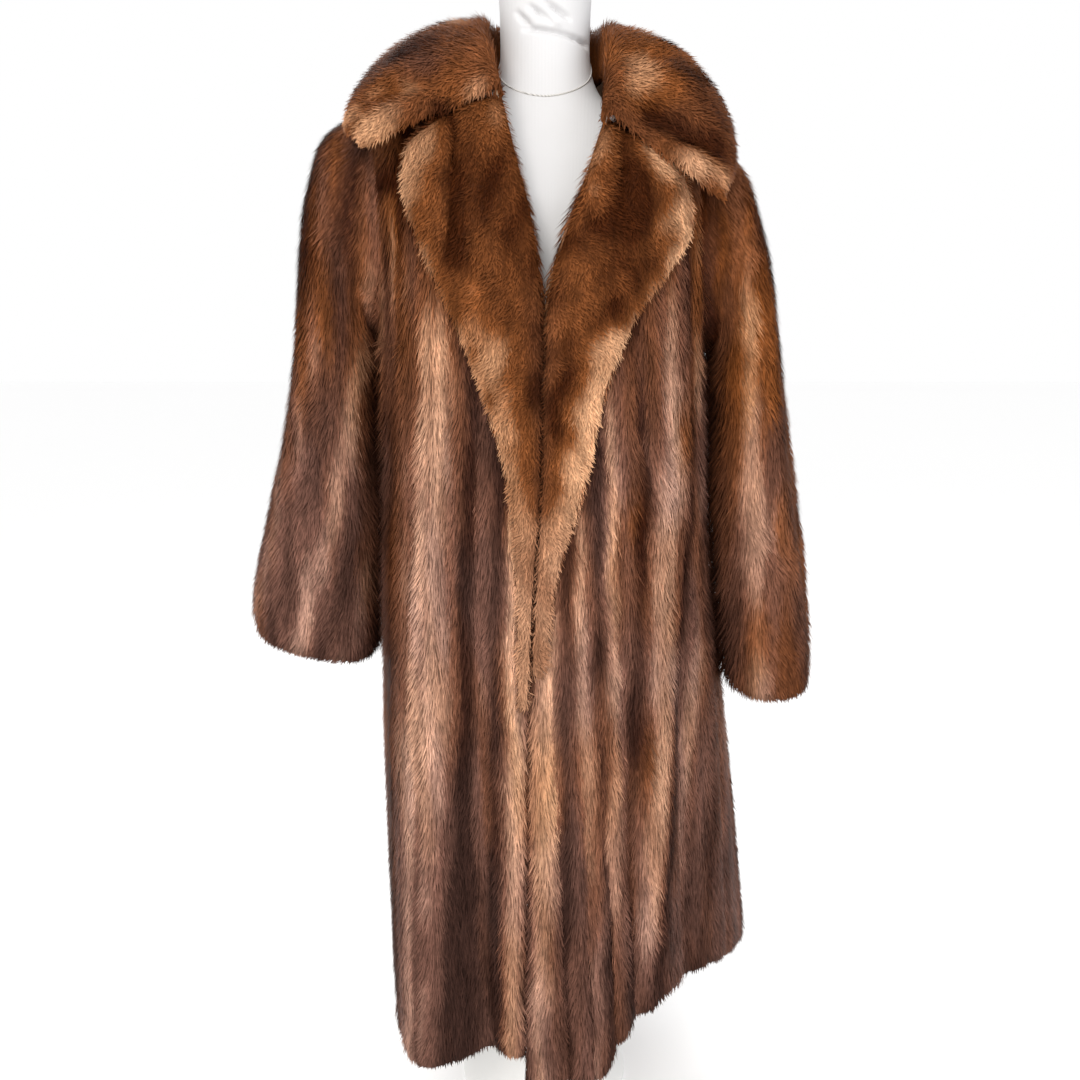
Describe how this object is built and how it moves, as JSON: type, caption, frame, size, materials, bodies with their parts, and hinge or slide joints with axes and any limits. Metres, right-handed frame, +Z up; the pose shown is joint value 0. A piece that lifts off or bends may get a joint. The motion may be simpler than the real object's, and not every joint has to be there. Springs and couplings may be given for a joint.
{
  "type": "fur coat on dress form",
  "caption": "Full-length brown fur coat with a wide notched collar and set-in sleeves, hanging open on a limbless dress form with a round foot.",
  "frame": {"origin": "centre of the stand's underside, on the floor", "axes": "+Z up, -Y out of the coat's front, +X towards the wearer's left"},
  "size_m": [0.7297, 0.4897, 1.53],
  "materials": {
    "fur": "let-out brown mink with darker stripes, soft sheen",
    "facing_fur": "golden brown mink, soft sheen",
    "jersey": "matt cotton jersey",
    "enamel": "satin white",
    "cap_wood": "varnished"
  },
  "bodies": {
    "root": {"front_right": "fur", "front_left": "fur", "back": "fur", "sleeve_right": "fur", "sleeve_left": "fur", "lapel_right": "facing_fur", "lapel_left": "facing_fur", "collar": "facing_fur", "torso": "jersey", "neck_cap": "cap_wood", "pole": "enamel", "base": "enamel"}
  },
  "joints": []
}
